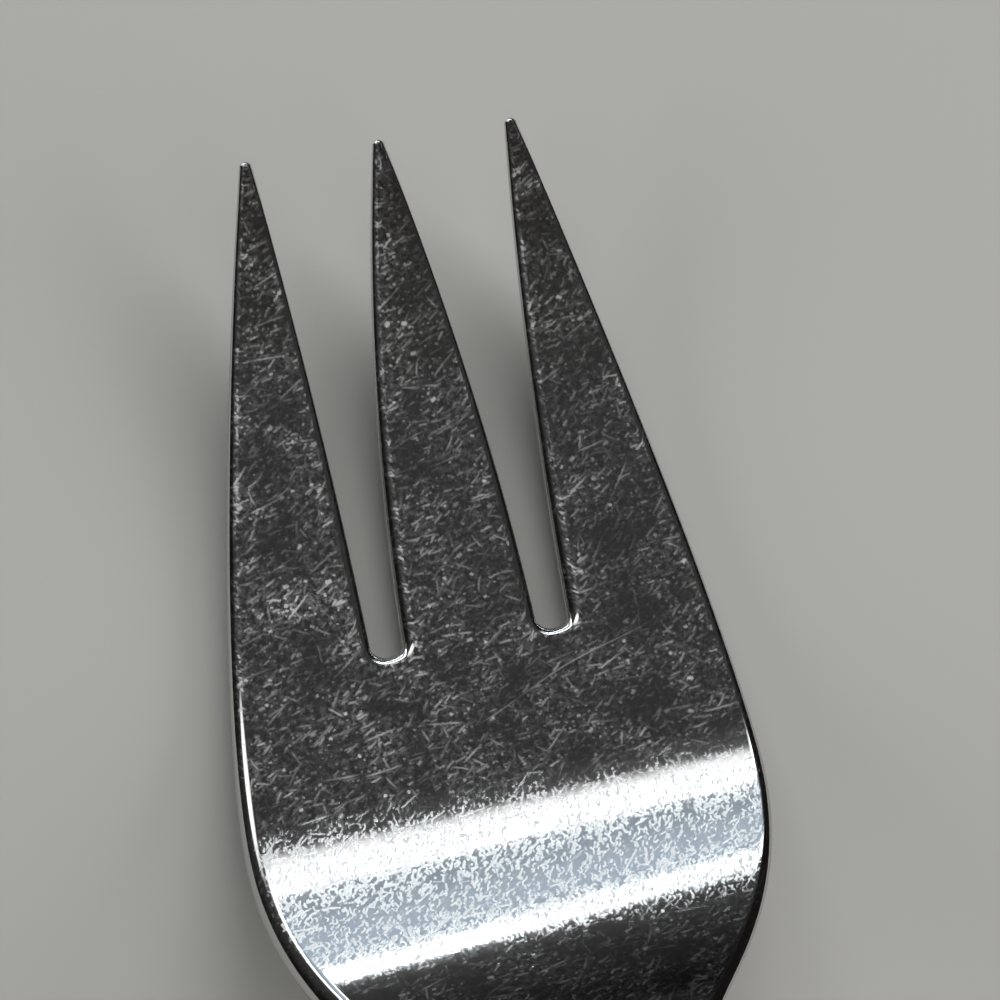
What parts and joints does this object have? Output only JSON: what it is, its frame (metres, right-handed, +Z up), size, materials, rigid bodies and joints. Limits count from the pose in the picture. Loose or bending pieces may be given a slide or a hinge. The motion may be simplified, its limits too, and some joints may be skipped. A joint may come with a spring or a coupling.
{
  "type": "meat fork",
  "caption": "Broad-tined meat fork for lifting and serving sliced meat: a pressed steel head with an arched neck, its flat tang riveted between wooden handle scales.",
  "frame": {"origin": "on the table that the fork rests on, face up, under the middle of its length", "axes": "+Y along the fork from the handle to the tine tips, +Z up out of the fork's face, +X across it to the right"},
  "size_m": [0.0384, 0.2186, 0.0222],
  "materials": {
    "steel": "polished, with fine wear scratches",
    "wood": "oiled",
    "brass": "turned and faced"
  },
  "bodies": {
    "root": {"fork_steel": "steel", "upper_scale": "wood", "lower_scale": "wood", "front_rivet_sleeve": "brass", "front_rivet_post": "brass", "middle_rivet_sleeve": "brass", "middle_rivet_post": "brass", "rear_rivet_sleeve": "brass", "rear_rivet_post": "brass"}
  },
  "joints": []
}
